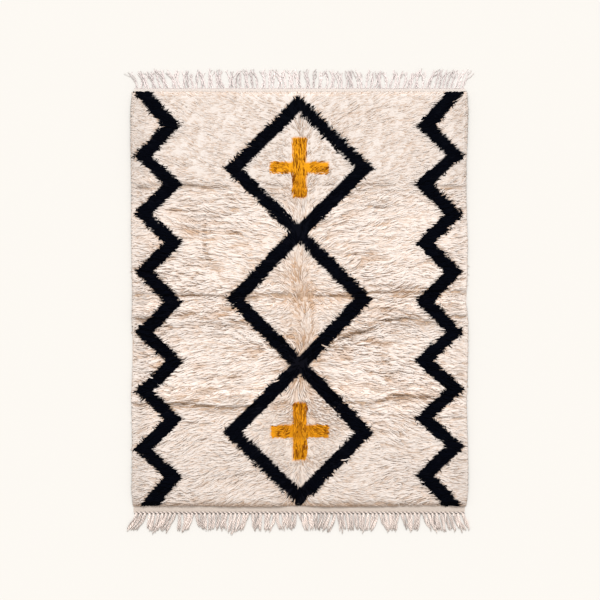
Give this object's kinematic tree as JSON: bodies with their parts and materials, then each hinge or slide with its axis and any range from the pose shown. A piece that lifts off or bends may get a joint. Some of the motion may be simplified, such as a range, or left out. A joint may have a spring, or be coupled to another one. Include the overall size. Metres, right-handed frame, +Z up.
{
  "type": "beni ourain rug",
  "caption": "Deep-pile wool rug with dark diamonds between zigzag stripes, mustard plus signs and a tasselled fringe at each end, laid flat.",
  "frame": {"origin": "on the floor, under the middle of the whole rug with its fringes", "axes": "+Y along the rug towards its upper fringe, +X across it to the right, +Z up through the pile"},
  "size_m": [1.629, 2.1886, 0.0299],
  "materials": {
    "pile_wool": "undyed cream wool pile with knotted designs in near-black and mustard wool",
    "warp_yarn": "plied undyed wool yarn, matt"
  },
  "bodies": {
    "root": {"rug_body": "pile_wool", "fringe_top": "warp_yarn", "fringe_bottom": "warp_yarn"}
  },
  "joints": []
}
